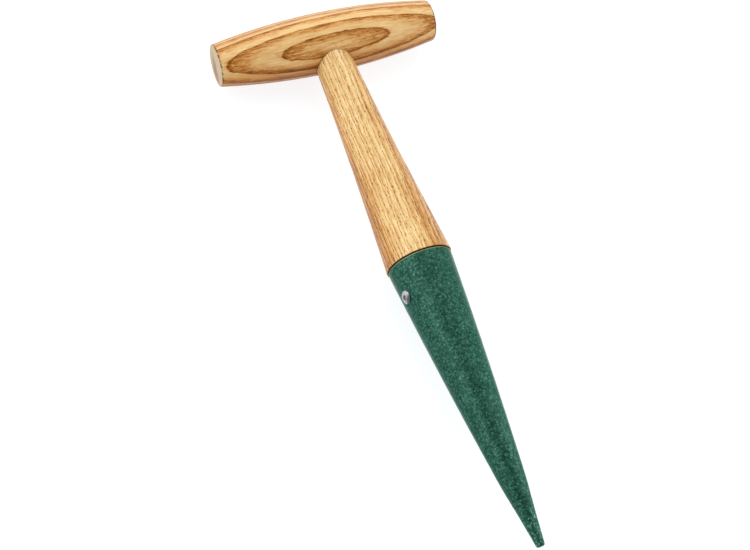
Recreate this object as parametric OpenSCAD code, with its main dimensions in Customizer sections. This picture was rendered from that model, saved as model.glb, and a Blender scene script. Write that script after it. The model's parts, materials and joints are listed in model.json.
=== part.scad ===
// Bulb planter of the dibber kind: a solid steel point that is pushed and twisted into soil.
// A turned ash crossbar and a turned ash neck meet in a pinned tenon joint.
// The neck's tapered spigot is glued and riveted into a rolled, seam-welded steel cone.
// Every piece is drawn upright first, point down, with the point's end at height 0, the crossbar
// along X and its working side to -Y. laid() then lays the tool on its back, as it rests on a bench:
// +X runs along the crossbar, +Y from the point to the crossbar, +Z up, away from the bench.

/* [Overall] */
// Length from the blunt point to the crossbar's axis
axis_len = 271; // [240:1:320]

/* [Crossbar] */
// Length of the crossbar between its flat ends
bar_len = 116; // [100:1:150]
// Diameter at the middle of the crossbar
bar_mid_d = 31; // [29:0.5:36]
// Diameter of the crossbar's flat ends
bar_end_d = 21; // [18:0.5:26]
// Chamfer round each flat end
bar_chamfer = 0.5; // [0.2:0.1:1]

/* [Neck] */
// Diameter of the neck at its shoulder, where it meets the steel
neck_low_d = 32.6; // [32.4:0.2:34]
// Diameter of the neck where it enters the crossbar
neck_top_d = 19.6; // [18:0.2:22]
// How far the neck's side is hollowed below a straight taper
neck_hollow = 0.6; // [0.3:0.1:1.5]
// Solid wood left above the end of the crossbar's bore
bore_cover = 8; // [6:0.5:9]
// Depth of the tapered spigot inside the cone
spigot_len = 40; // [35:1:60]

/* [Cone] */
// Height of the cone's rim above the point
rim_height = 140; // [130:1:150]
// Outside diameter of the cone at its rim
rim_d = 31.6; // [30:0.2:31.8]
// How far the cone's side bulges outside a straight taper, from its rim to its nose
cone_bulge = 0.5; // [0.1:0.05:1]
// Height above the point where the side turns in to a steeper nose
nose_len = 28; // [26:1:34]
// Outside diameter of the cone where its nose begins
nose_d = 11.7; // [11.4:0.1:14]
// How far the nose's side is hollowed below a straight taper
nose_hollow = 0.15; // [0.05:0.05:0.4]
// Diameter of the point, measured before its corner is rounded
point_d = 3.9; // [3.6:0.1:5]
// Thickness of the rolled sheet
wall = 1; // [0.8:0.1:1.5]
// Height of the solid tip below its weld
tip_len = 20; // [18:1:24]

/* [Fasteners] */
// Diameter of the blind rivet's shank
rivet_d = 3.2; // [3:0.1:4]
// Distance of the rivet below the cone's rim
rivet_drop = 16; // [12:0.5:24]
// Turn of the rivet from the crossbar's -X end toward the working side
rivet_turn = 16; // [0:1:30]
// Diameter of the steel pin through the tenon
pin_d = 2; // [1.6:0.1:2.4]
// Length of the pin
pin_len = 25; // [20:1:27]

/* [Hidden] */
$fn = 96;

wood = "#D8A868";
painted = "#2E6E59";
bright = "#C9CBCC";
steel = "#8E9297";

eps = 0.01;          // overlap that keeps a cut clear of a shared face
fit_gap = 0.1;       // radial glue gap round the tenon and the spigot
shoulder_gap = 0.3;  // open line between the neck's shoulder and the steel rim
tenon_gap = 0.5;     // space left beyond the end of the tenon
arris = 0.6;         // chamfer on the neck's turned edges
side_steps = 25;     // bands along each curved side, odd so that the crossbar's belly is a cylinder

bar_r = bar_mid_d / 2;
end_r = bar_end_d / 2;
neck_r = neck_low_d / 2;
tenon_r = neck_top_d / 2;
shoulder_z = rim_height + shoulder_gap;
neck_end_z = axis_len - bar_r - eps;
bore_end_z = axis_len + bar_r - bore_cover;
tenon_end_z = bore_end_z - tenon_gap;
spigot_end_z = rim_height - spigot_len;

// The four turned curves, each as its two end points, [radius, height], and its outward bow
bar_curve = [[end_r, -bar_len / 2], [end_r, bar_len / 2], bar_r - end_r];
neck_curve = [[neck_r, shoulder_z], [tenon_r, neck_end_z], -neck_hollow];
cone_curve = [[nose_d / 2, nose_len], [rim_d / 2, rim_height], cone_bulge];
nose_curve = [[point_d / 2, 0], [nose_d / 2, nose_len], -nose_hollow];

// Solid tip: its rounded corner, and the short spigot that centres it in the shell
point_round = 1;
round_steps = 6;
plug_spigot_len = 8;

// Welds: a V groove round the tip and a slot along the seam, both filled with a low crown
groove = 0.7;
crown = 0.2;
crown_steps = 8;
seam_w = 1.2;

// Blind rivet, measured from the outside of the shell
head_d = 2 * rivet_d;
head_h = 1.05;
head_edge = 0.25;
shank_len = 9;
tail_d = 1.3 * rivet_d;
tail_len = 2.5;
stem_d = 0.58 * rivet_d;
stem_recess = 0.45;
stem_head_d = 0.95 * rivet_d;
stem_head_len = 1.6;
rivet_z = rim_height - rivet_drop;

// Panel pin, driven from the bench side and punched below the surface
pin_sink = 1;
pin_head_d = 1.5 * pin_d;
pin_head_h = 1;
pin_point = 2.5;
pin_slack = 0.1;

// Lying on a bench, the tool touches at the crossbar's belly and at the neck's widest edge
lie_run = axis_len - shoulder_z;
lie_reach = norm([lie_run, neck_r]);
lie_angle = asin(bar_r / lie_reach) - atan(neck_r / lie_run);
lie_lift = bar_r - axis_len * sin(lie_angle);
lie_mid = (axis_len * cos(lie_angle) + bar_r) / 2;

// Radius at height z of the circular arc through two [radius, height] points that bows outward
// by bow at its middle, or inward when bow is negative
function arc_radius(z, curve) =
    let (
        a = curve[0],
        b = curve[1],
        bow = abs(curve[2]),
        side = sign(curve[2]),
        chord = norm(b - a),
        out = [b[1] - a[1], a[0] - b[0]] / chord,
        arc_r = (chord * chord / 4 + bow * bow) / (2 * bow),
        mid = (a + b) / 2 - side * (arc_r - bow) * out
    )
    mid[0] + side * sqrt(arc_r * arc_r - (z - mid[1]) * (z - mid[1]));

// Points along a turned curve between two heights, moved inward by inset
function side_points(curve, z0, z1, inset = 0) =
    [
        for (i = [0 : side_steps])
            let (z = z0 + (z1 - z0) * i / side_steps)
            [arc_radius(z, curve) - inset, z]
    ];

// Radius of the cone's outside at height z, on its nose or above it
function cone_radius(z) = arc_radius(z, z < nose_len ? nose_curve : cone_curve);

// Points along the cone's outside between two heights, moved inward by inset
function cone_points(z0, z1, inset = 0) =
    [
        for (i = [0 : side_steps])
            let (z = z0 + (z1 - z0) * i / side_steps)
            [cone_radius(z) - inset, z]
    ];

function reversed(list) = [for (i = [len(list) - 1 : -1 : 0]) list[i]];

// Points of a quarter round, from the flat at the bottom up to the side
function corner_points(centre, r, steps) =
    [for (i = [0 : steps]) centre + r * [sin(90 * i / steps), -cos(90 * i / steps)]];

module laid() {
    translate([0, -lie_mid, lie_lift])
        rotate([lie_angle - 90, 0, 0])
            children();
}

// Places a fastener drawn along Z, head up, at the rivet's hole with its head on the shell
module at_rivet() {
    slope = atan(cone_radius(rivet_z + 1) - cone_radius(rivet_z));
    rotate([0, 0, 180 + rivet_turn])
        translate([cone_radius(rivet_z), 0, rivet_z])
            rotate([0, 90 + slope, 0])
                translate([0, 0, -eps])
                    children();
}

// Places a fastener drawn along Z, head up, with its head sunk in the back of the crossbar
module at_pin() {
    translate([0, bar_r - pin_sink, axis_len])
        rotate([-90, 0, 0])
            children();
}

module crossbar() {
    ends = bar_len / 2 - bar_chamfer;
    color(wood)
        laid()
            difference() {
                translate([0, 0, axis_len])
                    rotate([0, 90, 0])
                        rotate_extrude()
                            polygon(concat(
                                [[0, -bar_len / 2], [end_r - bar_chamfer, -bar_len / 2]],
                                side_points(bar_curve, -ends, ends),
                                [[end_r - bar_chamfer, bar_len / 2], [0, bar_len / 2]]
                            ));
                translate([0, 0, axis_len - bar_mid_d])
                    cylinder(r = tenon_r + fit_gap, h = bore_end_z - axis_len + bar_mid_d);
                at_pin() pin_hole();
            }
}

module neck() {
    low_r = cone_radius(rim_height) - wall - fit_gap;
    end_spigot_r = cone_radius(spigot_end_z) - wall - fit_gap;
    color(wood)
        laid()
            difference() {
                rotate_extrude()
                    polygon(concat(
                        [
                            [0, spigot_end_z],
                            [end_spigot_r - arris, spigot_end_z],
                            [end_spigot_r, spigot_end_z + arris],
                            [low_r, rim_height],
                            [low_r, shoulder_z],
                            [neck_r - arris, shoulder_z]
                        ],
                        side_points(neck_curve, shoulder_z + arris, neck_end_z),
                        [
                            [tenon_r, tenon_end_z - arris],
                            [tenon_r - arris, tenon_end_z],
                            [0, tenon_end_z]
                        ]
                    ));
                at_rivet() rivet_hole();
                at_pin() pin_hole();
            }
}

module tenon_pin() {
    color(steel)
        laid()
            at_pin() {
                translate([0, 0, -pin_head_h])
                    cylinder(d = pin_head_d, h = pin_head_h);
                translate([0, 0, pin_point - pin_len])
                    cylinder(d = pin_d, h = pin_len - pin_point - pin_head_h + eps);
                translate([0, 0, -pin_len])
                    cylinder(d1 = pin_d / 4, d2 = pin_d, h = pin_point + eps);
            }
}

// Hole that the pin makes, wider above its head up to the surface
module pin_hole() {
    translate([0, 0, -pin_len - pin_slack])
        cylinder(d = pin_d + pin_slack, h = pin_len + pin_slack);
    translate([0, 0, -pin_head_h - pin_slack])
        cylinder(d = pin_head_d + pin_slack, h = pin_head_h + pin_sink + bar_r);
}

module cone_shell() {
    low_r = cone_radius(tip_len);
    color(painted)
        laid()
            difference() {
                rotate_extrude()
                    polygon(concat(
                        [[low_r - wall, tip_len], [low_r - groove, tip_len]],
                        cone_points(tip_len + groove, rim_height),
                        reversed(cone_points(tip_len + groove, rim_height, wall))
                    ));
                seam_slot();
                at_rivet()
                    translate([0, 0, -2 * wall])
                        cylinder(d = rivet_d + 2 * fit_gap, h = 4 * wall);
            }
}

// The slot between the rolled sheet's two edges, on the side away from the rivet
module seam_slot() {
    rotate([0, 0, rivet_turn])
        translate([0, -seam_w / 2, tip_len - eps])
            cube([rim_d, seam_w, rim_height - tip_len + 2 * eps]);
}

module seam_weld() {
    start = tip_len + groove;
    color(painted)
        laid()
            intersection() {
                rotate_extrude()
                    polygon(concat(
                        cone_points(start, rim_height, -crown),
                        reversed(cone_points(start, rim_height, wall))
                    ));
                seam_slot();
            }
}

module tip_weld() {
    r = cone_radius(tip_len);
    color(painted)
        laid()
            rotate_extrude()
                polygon(concat(
                    [[r - groove, tip_len]],
                    [
                        for (i = [0 : crown_steps])
                            let (z = tip_len + groove * (2 * i / crown_steps - 1))
                            [
                                cone_radius(z) + crown * sin(180 * i / crown_steps),
                                z
                            ]
                    ]
                ));
}

module tip_plug() {
    top_r = cone_radius(tip_len);
    spigot_r = top_r - wall - fit_gap;
    flat_r = cone_radius(point_round) - point_round;
    color(painted)
        laid()
            rotate_extrude()
                polygon(concat(
                    [[0, 0]],
                    corner_points([flat_r, point_round], point_round, round_steps),
                    cone_points(point_round + eps, tip_len - groove),
                    [
                        [top_r - groove, tip_len],
                        [spigot_r, tip_len],
                        [spigot_r, tip_len + plug_spigot_len - arris],
                        [spigot_r - arris, tip_len + plug_spigot_len],
                        [0, tip_len + plug_spigot_len]
                    ]
                ));
}

module rivet_body() {
    dome_r = (head_d * head_d / 4 + head_h * head_h) / (2 * head_h);
    color(bright)
        laid()
            at_rivet()
                difference() {
                    union() {
                        intersection() {
                            translate([0, 0, head_h - dome_r])
                                sphere(r = dome_r);
                            cylinder(d = head_d - head_edge, h = head_h);
                        }
                        translate([0, 0, -shank_len + tail_len])
                            cylinder(d = rivet_d, h = shank_len - tail_len + eps);
                        translate([0, 0, -shank_len])
                            rivet_tail(tail_d, tail_len + eps);
                    }
                    translate([0, 0, -shank_len - eps])
                        cylinder(d = stem_d + fit_gap, h = shank_len + head_h + 2 * eps);
                }
}

// The shank's pulled end: a short swelling with tapered shoulders
module rivet_tail(d, h) {
    rotate_extrude()
        polygon([
            [0, 0],
            [rivet_d / 2, 0],
            [d / 2, h / 3],
            [d / 2, 2 * h / 3],
            [rivet_d / 2, h],
            [0, h]
        ]);
}

// The rivet's hole in the wood, with the space that its swollen end has crushed
module rivet_hole() {
    depth = shank_len + stem_head_len + 2 * fit_gap;
    translate([0, 0, -depth])
        cylinder(d = rivet_d + 2 * fit_gap, h = depth + head_h);
    translate([0, 0, -shank_len - fit_gap])
        rivet_tail(tail_d + 4 * fit_gap, tail_len + 2 * fit_gap);
}

// The steel stem left in the rivet, snapped off just below the top of the head
module rivet_mandrel() {
    color(steel)
        laid()
            at_rivet() {
                translate([0, 0, -shank_len - eps])
                    cylinder(d = stem_d, h = shank_len + head_h - stem_recess);
                translate([0, 0, -shank_len - stem_head_len])
                    cylinder(d = stem_head_d, h = stem_head_len);
            }
}

crossbar();
neck();
tenon_pin();
cone_shell();
seam_weld();
tip_weld();
tip_plug();
rivet_body();
rivet_mandrel();
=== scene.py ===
import json
import math

import bmesh
import bpy
import numpy as np
from mathutils import Matrix, Vector, noise


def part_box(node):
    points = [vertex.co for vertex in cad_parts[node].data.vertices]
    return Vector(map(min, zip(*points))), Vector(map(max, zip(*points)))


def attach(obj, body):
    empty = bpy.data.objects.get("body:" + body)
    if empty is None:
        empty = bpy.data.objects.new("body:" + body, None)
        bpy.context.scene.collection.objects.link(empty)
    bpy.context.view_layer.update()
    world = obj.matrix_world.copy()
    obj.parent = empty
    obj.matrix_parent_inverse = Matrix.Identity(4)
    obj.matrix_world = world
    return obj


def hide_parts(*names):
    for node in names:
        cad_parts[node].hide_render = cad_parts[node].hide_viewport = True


# Looks for a T-handled bulb dibber: turned ash, a green hammered-enamel steel cone and a blind
# rivet. Every piece is worked out upright, in millimetres: the point's end is the origin, the
# crossbar runs along X, the side that the photograph shows faces -Y, and the tool's axis is +Z.
# UPRIGHT then lays it on its back. Lengths below are millimetres unless they say otherwise.

MM = 0.001
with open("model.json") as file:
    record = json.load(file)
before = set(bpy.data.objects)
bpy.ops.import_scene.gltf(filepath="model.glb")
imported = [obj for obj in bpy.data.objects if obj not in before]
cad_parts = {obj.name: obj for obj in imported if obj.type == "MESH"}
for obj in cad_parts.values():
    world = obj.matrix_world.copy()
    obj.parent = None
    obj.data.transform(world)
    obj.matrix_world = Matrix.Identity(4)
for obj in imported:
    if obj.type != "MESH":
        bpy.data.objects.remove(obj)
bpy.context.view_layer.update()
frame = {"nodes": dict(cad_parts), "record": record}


# ---------------------------------------------------------------- places and sizes from the frame


def mount(name):
    return next(m for m in frame["record"]["mounts"] if m["name"] == name)


def upright_frame():
    """Matrix from the upright tool, in millimetres, to the row frame, in metres."""
    point = mount("point_end")
    up = -Vector(point["axis"]).normalized()
    side = Vector((1, 0, 0))
    turn = Matrix((side, up.cross(side), up)).transposed()
    return Matrix.Translation(point["pos_m"]) @ turn.to_4x4() @ Matrix.Scale(MM, 4)


UPRIGHT = upright_frame()
TO_UPRIGHT = UPRIGHT.inverted()


def corners(node):
    """The corners of a CAD node as rows of upright x, y, z."""
    mesh = frame["nodes"][node].data
    co = np.empty(3 * len(mesh.vertices))
    mesh.vertices.foreach_get("co", co)
    turn = np.array(TO_UPRIGHT)
    return co.reshape(-1, 3) @ turn[:3, :3].T + turn[:3, 3]


def full_rings(node, low, high):
    """(height, radius) of each full ring of corners on a turned CAD node, between two heights."""
    ring_size = 12
    co = corners(node)
    heights = co[:, 2].round(2)
    radii = np.hypot(co[:, 0], co[:, 1])
    stations, counts = np.unique(heights, return_counts=True)
    full = (counts >= ring_size) & (stations > low) & (stations < high)
    return [(h, radii[heights == h].max()) for h in stations[full]]


def widening(rings):
    """The rings that are wider than all below them, which leaves out a hollow cone's inside."""
    kept = rings[:1]
    for height, radius in rings[1:]:
        if radius > kept[-1][1]:
            kept.append((height, radius))
    return kept


def side_curve(rings):
    """Radius against height along a turned side, straight between rings and past the end ones."""
    past = 10.0
    heights, radii = np.array(rings).T
    slopes = np.diff(radii) / np.diff(heights)
    heights = (heights[0] - past, *heights, heights[-1] + past)
    radii = (radii[0] - past * slopes[0], *radii, radii[-1] + past * slopes[-1])
    return lambda height: float(np.interp(height, heights, radii))


def pin_axis(node):
    """(middle, outward direction, lowest and highest place along it) of a slim round CAD node."""
    co = corners(node)
    middle = co.mean(0)
    direction = np.linalg.svd(co - middle, full_matrices=False)[2][0]
    if direction @ (middle * (1, 1, 0)) < 0:
        direction = -direction
    along = (co - middle) @ direction
    return Vector(middle), Vector(direction), along.min(), along.max()


def bar_side_curve(middle_z, half, middle_r):
    """Radius against place along the barrel: a parabola through its middle and its two ends."""
    end_zone = 0.6
    co = corners("crossbar")
    radii = np.hypot(co[:, 1], co[:, 2] - middle_z)
    near_end = half - np.abs(co[:, 0]) < end_zone
    end_r = radii[near_end].max()
    at = np.abs(co[near_end, 0])[radii[near_end].argmax()]
    return np.poly1d(np.polyfit((-at, 0, at), (end_r, middle_r, end_r), 2))


BAR_Z = (TO_UPRIGHT @ Vector(mount("crossbar_end_plus_x")["pos_m"])).z
BAR_HALF = mount("crossbar_end_plus_x")["pos_m"][0] / MM
BAR_R = (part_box("crossbar")[1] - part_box("crossbar")[0]).z / MM / 2
BAR_SIDE = bar_side_curve(BAR_Z, BAR_HALF, BAR_R)

RIM_Z = corners("cone_shell")[:, 2].max()
WELD_Z = corners("cone_shell")[:, 2].min()
CONE_RINGS = full_rings("tip_plug", 2, WELD_Z - 0.5)
CONE_RINGS += full_rings("cone_shell", WELD_Z + 0.5, RIM_Z + 1)
CONE_SIDE = side_curve(widening(CONE_RINGS))

NECK_TOP_Z = BAR_Z - BAR_R
NECK_SIDE = side_curve(full_rings("neck", RIM_Z + 1, NECK_TOP_Z + 0.2))
TENON_R = NECK_SIDE(NECK_TOP_Z)
TENON_END_Z = corners("neck")[:, 2].max()
SPIGOT_END_Z = corners("neck")[:, 2].min()

SEAM_MIDDLE = corners("seam_weld").mean(0)
SEAM_ANGLE = math.atan2(SEAM_MIDDLE[1], SEAM_MIDDLE[0])
SEAM_W = float(np.ptp(corners("seam_weld") @ (-math.sin(SEAM_ANGLE), math.cos(SEAM_ANGLE), 0)))

WALL = 1.0             # sheet of the cone
GLUE_GAP = 0.1         # round the tenon and the spigot
SHOULDER_GAP = 0.3     # between the neck's shoulder and the rim
GROOVE = 0.7           # weld groove round the tip
PLUG_SPIGOT_LEN = 8.0  # of the solid tip, up inside the shell
BORE_GAP = 0.5         # beyond the tenon's end
RIVET_HEAD_H = 1.05    # above the shell
RIVET_HOLE_R = 2.3     # in the neck, round the rivet's pulled tail
SHELL_HOLE_R = 1.7     # in the shell, round the rivet's shank
PIN_HOLE_R = 1.05      # round the tenon pin
PIN_HEAD_R = 1.55      # punched hole round the pin's head
PIN_HEAD_H = 1.1       # the pin's head, with its clearance
PIN_LAP = 0.4          # how much shorter the pin's hole is than the pin, inside its head's hole
CUT_PAST = 2.0         # how far a cutter runs on past what it cuts
POLE_R = 1e-6          # a ring narrower than this is one point
SLIVER = 2e-6          # metres: corners nearer than this are one corner


# ---------------------------------------------------------------- mesh helpers


def link(name, mesh):
    """A new object of the scene that holds the mesh."""
    piece = bpy.data.objects.new(name, mesh)
    bpy.context.scene.collection.objects.link(piece)
    return piece


def skin(name, rows, through=False, caps=False, matrix=UPRIGHT, sharp=35):
    """A closed mesh over rows of points. Each row closes on itself, and one point is a pole.

    through joins the last row to the first, and caps fills the first and the last row.
    """
    build = bmesh.new()
    made = [[build.verts.new(matrix @ Vector(p)) for p in row] for row in rows]
    pairs = list(zip(made, made[1:]))
    if through:
        pairs.append((made[-1], made[0]))
    for low, high in pairs:
        count = max(len(low), len(high))
        for i in range(count):
            j = (i + 1) % count
            quad = (
                low[i % len(low)],
                low[j % len(low)],
                high[j % len(high)],
                high[i % len(high)],
            )
            around = list(dict.fromkeys(quad))
            if len(around) > 2:
                build.faces.new(around)
    if caps:
        build.faces.new(made[0])
        build.faces.new(list(reversed(made[-1])))
    bmesh.ops.recalc_face_normals(build, faces=build.faces)
    mesh = bpy.data.meshes.new(name)
    build.to_mesh(mesh)
    build.free()
    soften(mesh, sharp)
    return link(name, mesh)


def soften(mesh, sharp=35):
    """Smooth shading, broken at edges that turn by more than sharp degrees."""
    mesh.shade_smooth()
    mesh.set_sharp_from_angle(angle=math.radians(sharp))


def ring(radius, height, turns, relief=None):
    """One turned row. relief gives how far each point stands out."""
    if radius < POLE_R:
        return [Vector((0, 0, height))]
    row = []
    for step in range(turns):
        angle = math.tau * step / turns
        out = Vector((math.cos(angle), math.sin(angle), 0))
        point = out * radius + Vector((0, 0, height))
        if relief:
            point += out * relief(point)
        row.append(point)
    return row


def spread(start, end, step):
    """Points from start to end, end left out, no more than step apart."""
    a, b = np.array(start, float), np.array(end, float)
    count = max(1, math.ceil(np.linalg.norm(b - a) / step))
    return [tuple(a + (b - a) * i / count) for i in range(count)]


def along_side(curve, low, high, step, inset=0.0):
    """(radius, height) points along a turned side, both ends included."""
    count = max(1, math.ceil(abs(high - low) / step))
    heights = np.linspace(low, high, count + 1)
    return [(float(curve(h)) - inset, float(h)) for h in heights]


def fillet(before, corner, after, radius, steps=6):
    """Points of the arc that rounds a corner of an outline."""
    corner = np.array(corner, float)
    a = np.array(before, float) - corner
    b = np.array(after, float) - corner
    a, b = a / np.linalg.norm(a), b / np.linalg.norm(b)
    half = math.acos(max(-1.0, min(1.0, float(a @ b)))) / 2
    reach = radius / math.tan(half)
    middle = corner + (a + b) / np.linalg.norm(a + b) * radius / math.sin(half)
    start, end = corner + a * reach - middle, corner + b * reach - middle
    turn = math.pi - 2 * half
    arc = []
    for i in range(steps + 1):
        t = i / steps
        blend = math.sin((1 - t) * turn) * start + math.sin(t * turn) * end
        arc.append(tuple(middle + blend / math.sin(turn)))
    return arc


def cut(piece, *cutters):
    """Takes the cutters out of the piece, deletes them and merges the slivers that they leave."""
    for cutter in cutters:
        tool = piece.modifiers.new("cut", "BOOLEAN")
        tool.operation = "DIFFERENCE"
        tool.solver = "EXACT"
        tool.object = cutter
    graph = bpy.context.evaluated_depsgraph_get()
    carved = bpy.data.meshes.new_from_object(piece.evaluated_get(graph))
    piece.modifiers.clear()
    piece.data = carved
    build = bmesh.new()
    build.from_mesh(carved)
    bmesh.ops.remove_doubles(build, verts=build.verts, dist=SLIVER)
    bmesh.ops.dissolve_degenerate(build, edges=build.edges, dist=SLIVER)
    bmesh.ops.dissolve_verts(build, verts=[v for v in build.verts if len(v.link_edges) == 2])
    build.to_mesh(carved)
    build.free()
    soften(carved)
    for cutter in cutters:
        bpy.data.objects.remove(cutter)


def rod(name, base, direction, length, radius, turns=48):
    """A plain round cutter from base along direction."""
    turn = Vector(direction).to_track_quat("Z", "Y").to_matrix().to_4x4()
    place = UPRIGHT @ Matrix.Translation(base) @ turn
    outline = ((0, 0), (radius, 0), (radius, length), (0, length))
    return skin(name, [ring(r, h, turns) for r, h in outline], matrix=place)


def finish_piece(piece, node, material):
    """Gives a piece its material, hangs it from the root body and hides the CAD node that it
    stands for.
    """
    piece.data.materials.clear()
    piece.data.materials.append(material)
    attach(piece, "root")
    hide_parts(node)


# ---------------------------------------------------------------- surface relief, in millimetres


def turned_relief(point):
    """The faint unevenness of hand-sanded, turned wood."""
    wave = noise.noise(point * 0.035)
    mark = noise.noise(point * 0.3)
    return 0.05 * wave + 0.008 * mark


def hammered_relief(point):
    """Shallow dimples of hammered enamel."""
    dimple = noise.noise(point * 0.75)
    swell = noise.noise(point * 0.28 + Vector((7, 3, 1)))
    return 0.045 * dimple + 0.04 * swell


# ---------------------------------------------------------------- pieces


def make_crossbar():
    """The barrel, with the neck's bore and the tenon pin's hole."""
    turns, step, edge, edge_zone = 200, 0.9, 0.45, 1
    end_r = float(BAR_SIDE(BAR_HALF))
    side = along_side(BAR_SIDE, -BAR_HALF + edge_zone, BAR_HALF - edge_zone, step)
    left = fillet((0, -BAR_HALF), (end_r, -BAR_HALF), side[0], edge)
    right = fillet(side[-1], (end_r, BAR_HALF), (0, BAR_HALF), edge)
    outline = spread((0, -BAR_HALF), left[0], step) + left + side + right
    outline += spread(right[-1], (0, BAR_HALF), step)[1:] + [(0, BAR_HALF)]
    rows = [ring(r, h, turns, turned_relief) for r, h in outline]
    lie = UPRIGHT @ Matrix.Translation((0, 0, BAR_Z)) @ Matrix.Rotation(math.pi / 2, 4, "Y")
    piece = skin("crossbar_ash", rows, matrix=lie)
    bore_start, bore_end = BAR_Z - 2 * BAR_R, TENON_END_Z + BORE_GAP
    bore = rod("bore", (0, 0, bore_start), (0, 0, 1), bore_end - bore_start, TENON_R + GLUE_GAP,
               turns=128)
    cut(piece, bore, pin_hole(), pin_head_hole())
    return piece


def pin_hole():
    """A cutter for the hole that the tenon pin makes, which ends inside its head's hole."""
    middle, direction, low, high = pin_axis("tenon_pin")
    base = middle + direction * (low - GLUE_GAP)
    return rod("pin_hole", base, direction, high - low - PIN_LAP, PIN_HOLE_R)


def pin_head_hole():
    """A cutter for the hole from the pin's punched head out through the surface."""
    middle, direction, _, high = pin_axis("tenon_pin")
    base = middle + direction * (high - PIN_HEAD_H)
    return rod("pin_head_hole", base, direction, PIN_HEAD_H + 3 * CUT_PAST, PIN_HEAD_R)


def make_neck():
    """The tapered neck, its spigot in the cone and its tenon in the crossbar, as one piece."""
    turns, step, hidden_step = 160, 1.0, 4
    spigot_edge, shoulder_edge, tenon_edge = 0.6, 0.5, 0.8
    shoulder = RIM_Z + SHOULDER_GAP
    neck_r = NECK_SIDE(shoulder)
    low_r = CONE_SIDE(RIM_Z) - WALL - GLUE_GAP
    end_r = CONE_SIDE(SPIGOT_END_Z) - WALL - GLUE_GAP
    side = along_side(NECK_SIDE, shoulder + 3 * shoulder_edge, NECK_TOP_Z - step / 2, step)
    outline = [(0, SPIGOT_END_Z)]
    outline += fillet((0, SPIGOT_END_Z), (end_r, SPIGOT_END_Z), (low_r, RIM_Z), spigot_edge)
    outline += spread((end_r, SPIGOT_END_Z + step), (low_r, RIM_Z), hidden_step)[1:]
    outline += [(low_r, RIM_Z), (low_r, shoulder)]
    outline += fillet((low_r, shoulder), (neck_r, shoulder), side[0], shoulder_edge, steps=8)
    outline += side + [(TENON_R, NECK_TOP_Z)]
    below_end = (TENON_R, TENON_END_Z - 2 * step)
    outline += spread((TENON_R, NECK_TOP_Z + step), below_end, 2 * step)
    outline += fillet(below_end, (TENON_R, TENON_END_Z), (0, TENON_END_Z), tenon_edge)
    outline += [(0, TENON_END_Z)]
    seen = shoulder - 0.01
    rows = [ring(r, h, turns, turned_relief if h > seen else None) for r, h in outline]
    piece = skin("neck_ash", rows)
    middle, direction, low, high = pin_axis("rivet_mandrel")
    base = middle + direction * (low - 2 * GLUE_GAP)
    rivet_hole = rod("rivet_hole", base, direction, high - low + CUT_PAST, RIVET_HOLE_R)
    cut(piece, rivet_hole, pin_hole())
    return piece


def shell_outline():
    """The cone shell's closed outline, and how many of its points are on the painted outside."""
    rim_round, rim_zone, inner_zone, step, hidden_step = 0.5, 1.2, 0.2, 0.8, 4
    low = WELD_Z + GROOVE
    outer = along_side(CONE_SIDE, low, RIM_Z - rim_zone, step)
    rim_r = CONE_SIDE(RIM_Z)
    rim = fillet(outer[-1], (rim_r, RIM_Z), (rim_r - WALL, RIM_Z), rim_round, steps=8)
    inner = along_side(CONE_SIDE, RIM_Z - inner_zone, low, hidden_step, inset=WALL)
    groove_r = CONE_SIDE(WELD_Z) - GROOVE
    bottom = [(CONE_SIDE(WELD_Z) - WALL, WELD_Z), (groove_r, WELD_Z)]
    return outer + rim + inner + bottom, len(outer)


def make_shell():
    """The rolled sheet: one turn of its outline, from one side of the seam's slot to the other."""
    outline, painted = shell_outline()
    turns = 150
    rows = []
    for step in range(turns + 1):
        row = []
        for index, (radius, height) in enumerate(outline):
            slot = math.asin(SEAM_W / 2 / radius)
            angle = SEAM_ANGLE + slot + (math.tau - 2 * slot) * step / turns
            out = Vector((math.cos(angle), math.sin(angle), 0))
            point = out * radius + Vector((0, 0, height))
            if index < painted:
                point += out * hammered_relief(point)
            row.append(point)
        rows.append(row)
    piece = skin("cone_shell_steel", rows, caps=True)
    middle, direction, _, high = pin_axis("rivet_mandrel")
    cut(piece, rod("shell_hole", middle, direction, high + CUT_PAST, SHELL_HOLE_R))
    return piece


def make_seam():
    """The weld bead that closes the rolled sheet: a low rippled crown over the slot."""
    half, crown, lap, root = SEAM_W / 2, 0.16, 0.25, 0.05
    pitch, rough, sway, below_rim, arc_steps, step = 1.1, 0.03, 0.12, 0.5, 8, 0.35
    out = Vector((math.cos(SEAM_ANGLE), math.sin(SEAM_ANGLE), 0))
    across = Vector((-out.y, out.x, 0))
    rows = []
    for radius, height in along_side(CONE_SIDE, WELD_Z + GROOVE, RIM_Z - below_rim, step):
        ripple = rough * math.sin(height * math.tau / pitch)
        ripple += rough * noise.noise(Vector((height, 0, 0)))
        wide = half + lap + sway * noise.noise(Vector((0, height * 0.4, 0)))
        base = radius - (half + lap) ** 2 / 2 / radius
        section = [(-half, radius - WALL), (half, radius - WALL), (half, base - root)]
        for i in range(arc_steps + 1):
            angle = math.pi * i / arc_steps
            section.append((wide * math.cos(angle), base + (crown + ripple) * math.sin(angle)))
        section.append((-half, base - root))
        lift = Vector((0, 0, height))
        rows.append([out * r + across * x + lift for x, r in section])
    return skin("seam_bead", rows, caps=True, sharp=60)


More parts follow.
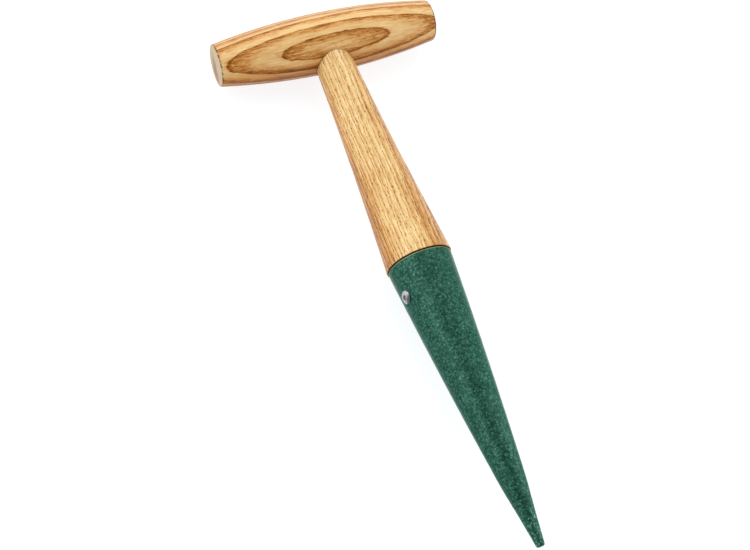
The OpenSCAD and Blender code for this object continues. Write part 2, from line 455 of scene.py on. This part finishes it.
def make_tip_weld():
    """The rippled ring of weld between the shell and the solid tip."""
    turns, ripple_turns, crown, sunk, arc_steps = 120, 5, 0.09, 0.02, 8
    half = GROOVE * 1.05
    radius = CONE_SIDE(WELD_Z)
    rows = []
    for step in range(turns):
        angle = math.tau * step / turns
        out = Vector((math.cos(angle), math.sin(angle), 0))
        ripple = 0.025 * math.sin(step * math.tau / ripple_turns) + 0.03 * noise.noise(out * 2.2)
        section = [(radius - GROOVE, 0)]
        for i in range(arc_steps + 1):
            turn = math.pi * i / arc_steps
            lift = half * math.cos(turn)
            proud = CONE_SIDE(WELD_Z - lift) + (crown + ripple) * math.sin(turn) - sunk
            section.append((proud, -lift))
        rows.append([out * r + Vector((0, 0, WELD_Z + h)) for r, h in section])
    return skin("tip_bead", rows, through=True, sharp=60)


def make_tip():
    """The solid point, with its spigot inside the shell."""
    turns, step, face_step = 96, 0.6, 0.4
    point_round, point_zone, spigot_edge = 1.15, 1.6, 0.5
    end_r = CONE_SIDE(0)
    top_r = CONE_SIDE(WELD_Z)
    spigot_r = top_r - WALL - GLUE_GAP
    spigot_end = WELD_Z + PLUG_SPIGOT_LEN
    side = along_side(CONE_SIDE, point_zone, WELD_Z - GROOVE, step)
    outline = spread((0, 0), (end_r - point_round, 0), face_step)
    outline += fillet((0, 0), (end_r, 0), side[0], point_round, steps=8)
    outline += side + [(top_r - GROOVE, WELD_Z), (spigot_r, WELD_Z)]
    outline += fillet((spigot_r, WELD_Z), (spigot_r, spigot_end), (0, spigot_end), spigot_edge)
    outline += [(0, spigot_end)]
    rows = []
    for r, h in outline:
        painted = h < WELD_Z - GROOVE and r > end_r / 2
        rows.append(ring(r, h, turns, hammered_relief if painted else None))
    return skin("tip_steel", rows)


def rivet_place():
    """Matrix of a frame at the rivet: its head's underside at 0, +Z outward."""
    middle, direction, _, high = pin_axis("rivet_body")
    turn = direction.to_track_quat("Z", "Y").to_matrix().to_4x4()
    return UPRIGHT @ Matrix.Translation(middle + direction * (high - RIVET_HEAD_H)) @ turn


def make_rivet():
    """The blind rivet's body: domed head with a lip round its hole, shank and pulled tail."""
    head_r, edge_h, shank_r, hole_r, top = 3.15, 0.42, 1.6, 0.96, RIVET_HEAD_H
    lip_r, tail_r, tail_z, end_z, swell = 1.22, 2.05, -6.6, -9.0, 0.8
    dome_r, dome_top, dome_steps, turns = head_r - 0.06, top - 0.08, 12, 96
    dome = []
    for i in range(dome_steps + 1):
        t = i / dome_steps
        height = edge_h + (dome_top - edge_h) * math.sin(t * math.pi / 2)
        dome.append((dome_r + (lip_r - dome_r) * t, height))
    lip = [(lip_r - 0.07, top - 0.03), (lip_r - 0.16, top - 0.03), (hole_r, top - 0.2)]
    tail = [(hole_r, end_z), (shank_r, end_z), (tail_r, end_z + swell), (tail_r, tail_z - swell)]
    outline = [(shank_r, 0.0), (head_r - 0.1, 0.0), (head_r, 0.07), (head_r, edge_h - 0.08)]
    outline += dome + lip + tail + [(shank_r, tail_z)]
    rows = [ring(r, h, turns) for r, h in outline]
    return skin("rivet_shell", rows, through=True, matrix=rivet_place(), sharp=40)


def make_mandrel():
    """The stem left in the rivet: a torn, dished end in the head, and the ball that pulled it."""
    turns, stem_r, ball_r, top, end_z = 48, 0.93, 1.5, 0.52, -9.0
    smooth = ((0, end_z - 1.6), (1.1, end_z - 1.6), (ball_r, end_z - 1.2), (ball_r, end_z - 0.1),
              (stem_r, end_z), (stem_r, top - 0.12))
    torn = ((0.86, top), (0.6, top - 0.05), (0.3, top - 0.16))
    rows = [ring(r, h, turns) for r, h in smooth]
    for r, h in torn:
        rows.append([p + Vector((0, 0, 0.07 * noise.noise(p * 3))) for p in ring(r, h, turns)])
    rows.append(ring(0, top - 0.18, turns))
    return skin("rivet_stem", rows, matrix=rivet_place(), sharp=50)


# ---------------------------------------------------------------- material helpers


class Graph:
    """A material's nodes, with short calls for the kinds that repeat."""

    def __init__(self, name):
        self.material = bpy.data.materials.new(name)
        self.material.use_nodes = True
        self.nodes = self.material.node_tree.nodes
        self.links = self.material.node_tree.links
        self.shader = self.nodes["Principled BSDF"]

    def put(self, socket, value):
        """Links another node's output to the socket, or sets it to a plain value."""
        if isinstance(value, bpy.types.NodeSocket):
            self.links.new(value, socket)
        else:
            socket.default_value = value

    def set(self, **inputs):
        """Inputs of the shader, by socket name with underscores for spaces."""
        for key, value in inputs.items():
            self.put(self.shader.inputs[key.replace("_", " ")], value)

    def place(self, matrix):
        """The row-frame position turned by matrix, which gives millimetres."""
        where = self.nodes.new("ShaderNodeTexCoord")
        turn = self.nodes.new("ShaderNodeMapping")
        turn.inputs["Location"].default_value = matrix.to_translation()
        turn.inputs["Rotation"].default_value = matrix.to_euler()
        turn.inputs["Scale"].default_value = matrix.to_scale()
        self.links.new(where.outputs["Object"], turn.inputs["Vector"])
        return turn.outputs["Vector"]

    def stretch(self, vector, scale, shift=(0, 0, 0)):
        """The vector scaled along each axis, then shifted so that two patterns differ."""
        turn = self.nodes.new("ShaderNodeMapping")
        turn.inputs["Scale"].default_value = scale
        turn.inputs["Location"].default_value = shift
        self.links.new(vector, turn.inputs["Vector"])
        return turn.outputs["Vector"]

    def split(self, vector):
        """The x, y and z outputs of a vector, or the red, green and blue of a colour."""
        node = self.nodes.new("ShaderNodeSeparateXYZ")
        self.links.new(vector, node.inputs[0])
        return node.outputs

    def math(self, operation, a, b=0.0, c=0.0):
        node = self.nodes.new("ShaderNodeMath")
        node.operation = operation
        for socket, value in zip(node.inputs, (a, b, c)):
            self.put(socket, value)
        return node.outputs[0]

    def distance(self, x, y):
        """How far x, y is from 0, 0."""
        square = self.math("MULTIPLY", y, y)
        return self.math("SQRT", self.math("MULTIPLY_ADD", x, x, square))

    def noise(self, vector, scale, detail=2.0, roughness=0.5):
        node = self.nodes.new("ShaderNodeTexNoise")
        self.links.new(vector, node.inputs["Vector"])
        node.inputs["Scale"].default_value = scale
        node.inputs["Detail"].default_value = detail
        node.inputs["Roughness"].default_value = roughness
        return node.outputs[0]

    def cells(self, vector, scale):
        """Outputs of a cell pattern: each cell's Color, and the Distance from its middle."""
        node = self.nodes.new("ShaderNodeTexVoronoi")
        self.links.new(vector, node.inputs["Vector"])
        node.inputs["Scale"].default_value = scale
        return node.outputs

    def band(self, value, low, high, start=0.0, end=1.0, smooth=True):
        """value from low..high mapped to start..end, held at both ends."""
        node = self.nodes.new("ShaderNodeMapRange")
        node.interpolation_type = "SMOOTHSTEP" if smooth else "LINEAR"
        for socket, number in zip(node.inputs, (value, low, high, start, end)):
            self.put(socket, number)
        return node.outputs[0]

    def ramp(self, value, *stops):
        """A colour ramp of (position, colour) stops; a colour is a grey or r, g, b."""
        node = self.nodes.new("ShaderNodeValToRGB")
        points = node.color_ramp.elements
        while len(points) < len(stops):
            points.new(1.0)
        for point, (position, colour) in zip(points, stops):
            point.position = position
            colour = (colour,) * 3 if isinstance(colour, (int, float)) else colour
            point.color = (*colour, 1)
        self.put(node.inputs[0], value)
        return node.outputs[0]

    def mix(self, factor, a, b, blend="MIX"):
        """Between two colours."""
        node = self.nodes.new("ShaderNodeMix")
        node.data_type = "RGBA"
        node.blend_type = blend
        node.clamp_factor = True
        for index, value in ((0, factor), (6, a), (7, b)):
            if isinstance(value, tuple):
                value = (*value, 1)
            self.put(node.inputs[index], value)
        return node.outputs[2]

    def blend(self, factor, a, b):
        """Between two plain numbers."""
        node = self.nodes.new("ShaderNodeMix")
        for index, value in ((0, factor), (2, a), (3, b)):
            self.put(node.inputs[index], value)
        return node.outputs[0]

    def bump(self, height, distance_mm, strength=1.0, normal=None):
        """The normal of a relief distance_mm high, on top of another normal."""
        node = self.nodes.new("ShaderNodeBump")
        node.inputs["Strength"].default_value = strength
        node.inputs["Distance"].default_value = distance_mm * MM
        self.links.new(height, node.inputs["Height"])
        if normal:
            self.links.new(normal, node.inputs["Normal"])
        return node.outputs[0]


# ---------------------------------------------------------------- wood


def grain_frame(origin, grain, depth):
    """Matrix from the row frame to a wood frame in millimetres: x across the rings, z with the
    grain."""
    z = Vector(grain).normalized()
    x = Vector(depth)
    x = (x - z * x.dot(z)).normalized()
    turn = Matrix((x, z.cross(x), z)).to_4x4()
    return turn @ Matrix.Translation(-Vector(origin)) @ TO_UPRIGHT


def ring_phase(graph, depth, ring_depths):
    """0 to 1 from each growth ring's edge to the next, for rings at these depths."""
    low, high = ring_depths[0], ring_depths[-1]
    node = graph.nodes.new("ShaderNodeFloatCurve")
    curve = node.mapping.curves[0]
    last = len(ring_depths) - 1
    while len(curve.points) < len(ring_depths):
        curve.points.new(0.5, 0.5)
    for index, (point, at) in enumerate(zip(curve.points, ring_depths)):
        point.location = ((at - low) / (high - low), index / last)
        point.handle_type = "VECTOR"
    node.mapping.update()
    graph.put(node.inputs["Value"], graph.band(depth, low, high, smooth=False))
    return graph.math("FRACT", graph.math("MULTIPLY", node.outputs[0], float(last)))


# Ash from its palest dense wood to the bottom of an open pore, all on one path of hue
ASH_TONES = (
    (0.0, (0.90, 0.665, 0.345)),
    (0.2, (0.80, 0.52, 0.222)),
    (0.45, (0.63, 0.305, 0.088)),
    (0.7, (0.42, 0.143, 0.019)),
    (1.0, (0.16, 0.043, 0.004)),
)


def ash(name, matrix, ring_depths, wobble, lean, bow, early, tones, lively, streaks, dashes,
        side_shade, gloss, tint=(1.0, 1.0, 1.0), ruddy=0.0, end_at=None, joint=None):
    """Lacquered ash. Growth rings are sheets at ring_depths, which the turned surface cuts into
    loops or lines. Each ring starts at a dark edge of open pores and fades into dense pale wood.

    wobble is how far the sheets waver, and lean and bow are their slope and curve along the grain.
    early is the share of a ring that is open-pored.
    tones is the darkness at the ring's edge, just inside it, at the end of its open part, and in
    its dense part.
    lively is how strongly the dense part is streaked, against 1 for the open part.
    streaks is the strength of the long streaks and of the fine fibre.
    dashes is how many pores are cut per mm across and along the grain, the share left out, and
    their depth of tone.
    side_shade gives the painted shade at the sides of the blank.
    gloss is the weight of the lacquer's coat, tint the colour that the lacquer gives the wood, and
    ruddy the weight of a redder brown deeper in the blank.
    end_at is how far along the grain the sawn ends are, and joint paints the dark line and the
    painted shade where the piece meets another part.
    """
    graph = Graph(name)
    where = graph.place(matrix)
    depth, across, along = graph.split(where)[:3]

    waver = graph.noise(graph.stretch(where, (0.05, 0.05, 0.022)), 1.0, detail=1.0)
    ripple = graph.noise(graph.stretch(where, (0.3, 0.3, 0.2), (3, 1, 2)), 1.0, detail=3.0)
    bowed = graph.math("MULTIPLY_ADD", along, bow, lean)
    moved = graph.math("MULTIPLY_ADD", along, bowed, depth)
    moved = graph.math("MULTIPLY_ADD", graph.math("SUBTRACT", waver, 0.5), wobble, moved)
    moved = graph.math("MULTIPLY_ADD", graph.math("SUBTRACT", ripple, 0.5), wobble * 0.65, moved)
    phase = ring_phase(graph, moved, ring_depths)

    edge, inside, open_end, dense = tones
    rings = graph.ramp(
        phase,
        (0.0, edge),
        (0.035, edge),
        (0.09, inside),
        (early * 0.55, 0.6 * inside + 0.4 * open_end),
        (early, open_end),
        (0.72, dense),
        (0.94, dense),
        (0.985, open_end),
    )
    open_zone = graph.ramp(
        phase, (0.0, 1.0), (0.2, 0.9), (early, 0.45), (early * 1.5, 0.12), (0.97, 0.1), (1.0, 1.0)
    )

    blotch = graph.noise(graph.stretch(where, (0.12, 0.12, 0.035), (9, 4, 0)), 1.0, detail=2.0)
    streaky = graph.noise(graph.stretch(where, (1.15, 1.15, 0.09), (5, 5, 5)), 1.0, detail=2.0)
    fibre = graph.noise(graph.stretch(where, (2.1, 2.1, 0.24)), 1.0, detail=3.0, roughness=0.6)
    liveliness = graph.math("MULTIPLY_ADD", open_zone, 1 - lively, lively)
    darkness = graph.math("MULTIPLY_ADD", graph.math("SUBTRACT", blotch, 0.5), 0.35, rings)
    # painted shade at the sides of the piece
    darkness = graph.math("ADD", darkness, side_shade(graph, depth, across))
    for streak, amount in zip((streaky, fibre), streaks):
        swing = graph.math("MULTIPLY", graph.math("SUBTRACT", streak, 0.5), liveliness)
        darkness = graph.math("MULTIPLY_ADD", swing, amount, darkness)
    density, length, closed, dash_tone = dashes
    pores = vessels(graph, where, open_zone, (density, length), (0.0, 0.0, 0.0), closed)
    fine = (1.7 * density, 1.4 * length)
    fine_pores = vessels(graph, where, open_zone, fine, (2.0, 0.0, 6.0), closed + 0.1)
    pores = graph.math("MAXIMUM", pores, graph.math("MULTIPLY", fine_pores, 0.7))
    darkness = graph.math("MULTIPLY_ADD", pores, dash_tone, darkness)
    wood = graph.mix(1.0, graph.ramp(darkness, *ASH_TONES), tint, blend="MULTIPLY")
    deeper = graph.band(depth, 9.0, 2.5, 0.0, ruddy)
    wood = graph.mix(deeper, wood, graph.mix(0.4, wood, (0.42, 0.19, 0.080)))

    roughness = graph.math("MULTIPLY_ADD", fibre, 0.14, 0.34)
    roughness = graph.math("MULTIPLY_ADD", pores, 0.25, roughness)
    # the joint's dark line and painted shade
    if joint:
        wood = joint(graph, wood)
    if end_at:
        wood, roughness = end_grain(graph, where, along, phase, wood, roughness, end_at)
    graph.set(Base_Color=wood, Roughness=roughness)
    graph.set(Coat_Weight=gloss, Coat_Roughness=0.22)
    graph.set(Specular_IOR_Level=0.3, Specular_Tint=(1.0, 0.72, 0.40, 1))
    cut_pores = graph.bump(graph.math("SUBTRACT", 1.0, pores), 0.06, 0.7)
    graph.set(Normal=graph.bump(fibre, 0.025, 0.5, cut_pores))
    return graph.material


def vessels(graph, where, open_zone, size, shift, share):
    """Dark dashes of cut pores, most of them where open_zone is high. size is cells per mm across
    and along the grain; share is the part of the cells left empty."""
    across, along = size
    cells = graph.cells(graph.stretch(where, (across, across, along), shift), 1.0)
    dash = graph.band(cells["Distance"], 0.18, 0.42, 1.0, 0.0)
    chance = graph.math("SUBTRACT", open_zone, graph.split(cells["Color"])[0])
    return graph.math("MULTIPLY", dash, graph.band(chance, share - 0.35, share - 0.25))


def end_grain(graph, where, along, phase, wood, roughness, end_at):
    """The sawn ends: bare, pale and rough, with a brown heart mark, rings as faint arcs, pores as
    dots and a worn dark edge."""
    bare = (0.54, 0.43, 0.285)
    smear = graph.noise(graph.stretch(where, (0.35, 0.2, 0.1), (1, 8, 0)), 1.0, detail=3.0)
    x, y = graph.split(graph.stretch(where, (0.32, 0.16, 1.0), (0.95, -0.35, 0.0)))[:2]
    from_heart = graph.math("MULTIPLY_ADD", smear, 1.2, graph.distance(x, y))
    grain = graph.mix(graph.band(from_heart, 1.0, 2.3, 0.95, 0.0), bare, (0.25, 0.125, 0.085))
    arcs = graph.ramp(phase, (0.0, 0.7), (0.12, 0.4), (0.4, 0.0), (0.97, 0.0), (1.0, 0.7))
    grain = graph.mix(arcs, grain, (0.34, 0.21, 0.11))
    saw = graph.noise(graph.stretch(where, (0.5, 5.0, 0.5)), 1.0, detail=3.0)
    grain = graph.mix(graph.band(saw, 0.35, 0.7, 0.0, 0.4), grain, (0.52, 0.43, 0.32))
    dots = graph.cells(graph.stretch(where, (3.0, 3.0, 0.4)), 1.0)["Distance"]
    grain = graph.mix(graph.band(dots, 0.12, 0.26, 0.4, 0.0), grain, (0.16, 0.09, 0.04))
    from_middle = graph.math("ABSOLUTE", along)
    on_end = graph.band(from_middle, end_at - 0.12, end_at - 0.02)
    near_edge = graph.band(from_middle, end_at - 1.1, end_at - 0.4)
    scuffs = graph.noise(graph.stretch(where, (0.4, 0.4, 0.4), (4, 4, 4)), 1.0, detail=4.0)
    worn = graph.math("MULTIPLY", near_edge, graph.band(scuffs, 0.40, 0.58))
    wood = graph.mix(graph.math("MULTIPLY", worn, 0.85), wood, (0.06, 0.028, 0.01))
    wood = graph.mix(on_end, wood, grain)
    return wood, graph.blend(on_end, roughness, 0.75)


def bar_underside_painted_shade(graph, depth, across):
    """Painted shade: the barrel is darker along the side that faces the cone."""
    return graph.band(across, 2.0, 11.5, 0.0, 0.36)


def neck_sides_painted_shade(graph, depth, across):
    """Painted shade: the neck is darker at the two sides of its blank, most of all at the rivet's
    side.
    """
    rivet_side_painted_shade = graph.band(depth, -3.0, -12.0, 0.0, 0.40)
    return graph.math("ADD", rivet_side_painted_shade, graph.band(depth, 5.0, 13.0, 0.0, 0.28))


def bar_joint_line_and_shadow(graph, wood):
    """A dark line where the neck enters the crossbar: a faint dark joint line on the right, and
    painted contact shadow that makes it much darker on the left.
    """
    x, y, z = graph.split(graph.place(TO_UPRIGHT))[:3]
    # Painted contact shadow: the line is far darker on the left side.
    strength = graph.band(x, 1, -9, 0.1, 0.85)
    line = graph.band(graph.distance(x, y), TENON_R + 0.1, TENON_R + 0.9, strength, 0.0)
    below = graph.band(z, BAR_Z - 1, BAR_Z, 1.0, 0.0)
    return graph.mix(graph.math("MULTIPLY", line, below), wood, (0.13, 0.055, 0.018))


def neck_shoulder_painted_shade(graph, wood):
    """Painted shade, nearly black, on the neck's rounded shoulder in the crease above the cone's
    rim.
    """
    z = graph.split(graph.place(TO_UPRIGHT))[2]
    shoulder = RIM_Z + SHOULDER_GAP
    # Painted shade under the shoulder.
    edge = graph.band(z, shoulder + 0.02, shoulder + 0.3, 0.95, 0.0)
    return graph.mix(edge, wood, (0.035, 0.016, 0.008))


def crossbar_ash():
    """Wide nested ovals: the ring sheets face the lens, and the barrel's belly cuts them."""
    lift = math.radians(42)
    toward = (0, -math.cos(lift), -math.sin(lift))
    matrix = grain_frame((0, 0, BAR_Z), (1, 0, 0), toward)
    depths = (-18.0, -14.9, -11.7, -8.5, -5.3, -2.2, 0.8, 3.8, 7.1, 11.4, 14.4, 16.4)
    return ash("crossbar_ash", matrix, depths, wobble=1.0, lean=0.005, bow=0.00023, early=0.46,
               tones=(0.82, 0.63, 0.36, 0.19), lively=0.35, streaks=(1.2, 0.8),
               dashes=(2.0, 0.36, 0.5, 0.30), side_shade=bar_underside_painted_shade, gloss=0.07, ruddy=1.0,
               end_at=BAR_HALF, joint=bar_joint_line_and_shadow)


def neck_ash():
    """Long close lines: the ring sheets stand nearly edge-on to the lens."""
    side = math.radians(-28)
    matrix = grain_frame((0, 0, 0), (0, 0, 1), (math.cos(side), math.sin(side), 0))
    depths = []
    for i in range(27):
        uneven = 0.5 * math.sin(3.1 * i) + 0.3 * math.sin(5 * i)
        depths.append(-22 + 1.7 * i + uneven)
    return ash("neck_ash", matrix, depths, wobble=1.9, lean=0.006, bow=0.0, early=0.45,
               tones=(0.44, 0.36, 0.25, 0.14), lively=1.0, streaks=(0.65, 0.8),
               dashes=(1.5, 0.5, 0.36, 0.5), side_shade=neck_sides_painted_shade, gloss=0.3,
               tint=(0.97, 1.04, 1.07), joint=neck_shoulder_painted_shade)


# ---------------------------------------------------------------- metal


def hammered_enamel():
    """Deep green hammered enamel: flakes gather in pale specks between darker cells, more of them
    toward the point, with a painted highlight along the rim's rounded edge, and darker bands along
    both sides of the tip's weld."""
    graph = Graph("hammered_enamel")
    where = graph.place(TO_UPRIGHT)
    height = graph.split(where)[2]
    warp = graph.noise(where, 0.9, detail=2.0)
    fine = graph.noise(where, 2.4, detail=2.0, roughness=0.6)
    cloud = graph.noise(where, 0.12, detail=2.0)
    cells = graph.cells(where, 1.05)
    small = graph.cells(where, 1.6)
    of_cell = graph.split(cells["Color"])[0]
    tone = graph.math("MULTIPLY_ADD", of_cell, 0.28, graph.math("MULTIPLY", warp, 0.4))
    tone = graph.math("MULTIPLY_ADD", graph.math("SUBTRACT", 0.6, cells["Distance"]), 0.30, tone)
    tone = graph.math("MULTIPLY_ADD", fine, 0.30, tone)
    tone = graph.math("MULTIPLY_ADD", cloud, 0.08, tone)
    tone = graph.math("ADD", tone, graph.band(height, 26.0, 4.0, 0.0, 0.07))
    green = graph.ramp(
        tone,
        (0.38, (0.008, 0.045, 0.029)),
        (0.56, (0.019, 0.086, 0.060)),
        (0.72, (0.040, 0.139, 0.098)),
        (0.88, (0.088, 0.232, 0.164)),
    )
    near_point = (24.0, 12.0)
    more = graph.band(height, *near_point, 0.0, 0.09)
    bright = graph.band(graph.math("ADD", graph.split(small["Color"])[1], more), 0.90, 0.95)
    reach = graph.band(height, *near_point, 0.42, 0.62)
    speck = graph.math("MULTIPLY", bright, graph.band(small["Distance"], 0.15, reach, 1.0, 0.0))
    speck = graph.math("MULTIPLY", speck, graph.band(height, 45.0, 5.0, 0.6, 0.9))
    green = graph.mix(speck, green, (0.26, 0.48, 0.35))
    # Painted highlight: a pale line along the rim's rounded edge.
    rim = graph.band(height, RIM_Z - 0.7, RIM_Z - 0.4)
    green = graph.mix(graph.math("MULTIPLY", rim, 0.7), green, (0.42, 0.44, 0.22))
    # Darker bands along both sides of the tip's weld.
    weld_toe = 1.3
    from_weld = graph.math("ABSOLUTE", graph.math("SUBTRACT", height, WELD_Z))
    from_toe = graph.math("ABSOLUTE", graph.math("SUBTRACT", from_weld, weld_toe))
    green = graph.mix(graph.band(from_toe, 0.2, 0.8, 0.55, 0.0), green, (0.010, 0.035, 0.026))
    roughness = graph.math("MULTIPLY_ADD", fine, 0.2, 0.40)
    graph.set(Base_Color=green, Roughness=roughness, Metallic=0.9)
    graph.set(Coat_Weight=0.8, Coat_Roughness=0.1, Coat_IOR=1.16)
    graph.set(Specular_IOR_Level=0.2, Specular_Tint=(0.30, 0.75, 0.58, 1))
    dimples = graph.bump(cells["Distance"], 0.12, 0.5)
    graph.set(Normal=graph.bump(fine, 0.05, 0.5, dimples))
    return graph.material


def pulled_aluminium():
    """Bright rivet metal with fine rings from the tool, darker round its hole, and painted shade
    in a dark crescent on its lower right side.
    """
    graph = Graph("pulled_aluminium")
    middle, outward, _, _ = pin_axis("rivet_body")
    # x of this frame points to the head's lower right, where the painted shade falls.
    where = graph.place(grain_frame(middle, outward, (0.55, -0.45, -0.7)))
    x, y = graph.split(where)[:2]
    radial = graph.distance(x, y)
    rings = graph.math("SINE", graph.math("MULTIPLY", radial, 26.0))
    scuff = graph.noise(where, 2.2, detail=4.0, roughness=0.65)
    tone = graph.mix(graph.band(scuff, 0.4, 0.65), (0.56, 0.57, 0.58), (0.24, 0.25, 0.27))
    # Darker round the hole.
    round_hole_darkening = graph.band(radial, 1.0, 1.9, 0.8, 0.0)
    tone = graph.mix(round_hole_darkening, tone, (0.16, 0.16, 0.17))
    # Painted shade: a dark crescent over the head's lower right side.
    lower_right_painted_shade = graph.band(graph.math("MULTIPLY_ADD", scuff, 0.8, x), 1.3, 2.4, 0.0, 0.85)
    tone = graph.mix(lower_right_painted_shade, tone, (0.045, 0.05, 0.05))
    roughness = graph.math("MULTIPLY_ADD", scuff, 0.3, 0.14)
    graph.set(Base_Color=tone, Metallic=1.0, Roughness=roughness)
    graph.set(Normal=graph.bump(rings, 0.012, 0.5, graph.bump(scuff, 0.03, 0.4)))
    return graph.material


def drawn_steel():
    """Plain steel of the stem and the pin, torn and dull."""
    graph = Graph("drawn_steel")
    where = graph.place(TO_UPRIGHT)
    stain = graph.noise(where, 1.3, detail=5.0, roughness=0.7)
    tone = graph.mix(graph.band(stain, 0.4, 0.7), (0.30, 0.30, 0.31), (0.12, 0.10, 0.09))
    graph.set(Base_Color=tone, Metallic=0.9, Roughness=graph.math("MULTIPLY_ADD", stain, 0.3, 0.3))
    graph.set(Normal=graph.bump(stain, 0.06, 0.5))
    return graph.material


# ---------------------------------------------------------------- stage, light and camera


def make_floor():
    """A plain pale floor, which glows like a light table."""
    reach = 25.0
    square = [(-reach, -reach, 0), (reach, -reach, 0), (reach, reach, 0), (-reach, reach, 0)]
    mesh = bpy.data.meshes.new("floor")
    mesh.from_pydata(square, [], [(0, 1, 2, 3)])
    floor = link("floor", mesh)
    graph = Graph("pale_floor")
    where = graph.nodes.new("ShaderNodeTexCoord").outputs["Object"]
    shade = graph.noise(where, 9.0, detail=3.0)
    graph.set(Base_Color=graph.mix(shade, (0.235, 0.236, 0.238), (0.26, 0.26, 0.26)))
    graph.set(Roughness=0.7, Emission_Color=(0.965, 0.985, 1.0, 1), Emission_Strength=0.85)
    floor.data.materials.append(graph.material)


def make_tent():
    """A white tent round the tool, dark where it opens toward the lens, and brighter beyond the
    crossbar than beyond the point."""
    world = bpy.data.worlds.new("studio")
    bpy.context.scene.world = world
    world.use_nodes = True
    nodes, links = world.node_tree.nodes, world.node_tree.links
    direction = nodes.new("ShaderNodeTexCoord").outputs["Generated"]
    levels = []
    for toward, low, high, start, end in (
        ((-0.32, -0.36, 0.88), 0.70, 0.97, 1.25, 0.15),
        ((-0.10, 0.96, 0.25), -1.0, 1.0, 0.42, 1.3),
    ):
        facing = nodes.new("ShaderNodeVectorMath")
        facing.operation = "DOT_PRODUCT"
        facing.inputs[1].default_value = toward
        links.new(direction, facing.inputs[0])
        level = nodes.new("ShaderNodeMapRange")
        for index, value in ((1, low), (2, high), (3, start), (4, end)):
            level.inputs[index].default_value = value
        links.new(facing.outputs["Value"], level.inputs[0])
        levels.append(level.outputs[0])
    both = nodes.new("ShaderNodeMath")
    both.operation = "MULTIPLY"
    links.new(levels[0], both.inputs[0])
    links.new(levels[1], both.inputs[1])
    links.new(both.outputs[0], nodes["Background"].inputs["Strength"])
    nodes["Background"].inputs["Color"].default_value = (1.0, 1.0, 1.0, 1)


def area_light(name, place, toward, size, power):
    """A white softbox at place, in metres, that faces toward."""
    lamp = bpy.data.lights.new(name, "AREA")
    lamp.shape = "RECTANGLE"
    lamp.size, lamp.size_y = size
    lamp.energy = power
    holder = bpy.data.objects.new(name, lamp)
    holder.location = place
    holder.rotation_euler = (Vector(toward) - Vector(place)).to_track_quat("-Z", "Y").to_euler()
    bpy.context.scene.collection.objects.link(holder)


def make_lights():
    """A large key light from the upper left, and a low strip on the right that edges the cone."""
    area_light("key_softbox", (-1.0, 0.3, 0.9), (0, 0.02, 0), (1.0, 1.0), 4.5)
    area_light("edge_softbox", (0.8, -0.15, 0.22), (0, -0.05, 0.015), (0.3, 1.2), 2.0)


def make_camera():
    """The photograph's view, from the upright tool's front left."""
    eye = Vector((-171.4, -459.8, -42.6))
    target = Vector((-22.6, 0.0, 140.4))
    up = Vector((0.2603, -0.4286, 0.8652))
    data = bpy.data.cameras.new("camera")
    data.sensor_width = 36.0
    data.lens = 53.46
    data.clip_start, data.clip_end = 0.01, 20.0
    camera = bpy.data.objects.new("camera", data)
    turn = UPRIGHT.to_3x3().normalized()
    back = (turn @ (eye - target)).normalized()
    right = (turn @ up).cross(back).normalized()
    look = Matrix((right, back.cross(right), back)).transposed()
    camera.matrix_world = Matrix.Translation(UPRIGHT @ eye) @ look.to_4x4()
    bpy.context.scene.collection.objects.link(camera)
    bpy.context.scene.camera = camera
    bpy.context.scene.view_settings.view_transform = "Standard"


# ---------------------------------------------------------------- assembly


enamel = hammered_enamel()
steel = drawn_steel()
finish_piece(make_crossbar(), "crossbar", crossbar_ash())
finish_piece(make_neck(), "neck", neck_ash())
finish_piece(make_shell(), "cone_shell", enamel)
finish_piece(make_seam(), "seam_weld", enamel)
finish_piece(make_tip_weld(), "tip_weld", enamel)
finish_piece(make_tip(), "tip_plug", enamel)
finish_piece(make_rivet(), "rivet_body", pulled_aluminium())
finish_piece(make_mandrel(), "rivet_mandrel", steel)
pin = frame["nodes"]["tenon_pin"]
pin.data.materials.clear()
pin.data.materials.append(steel)

make_floor()
make_tent()
make_lights()
make_camera()
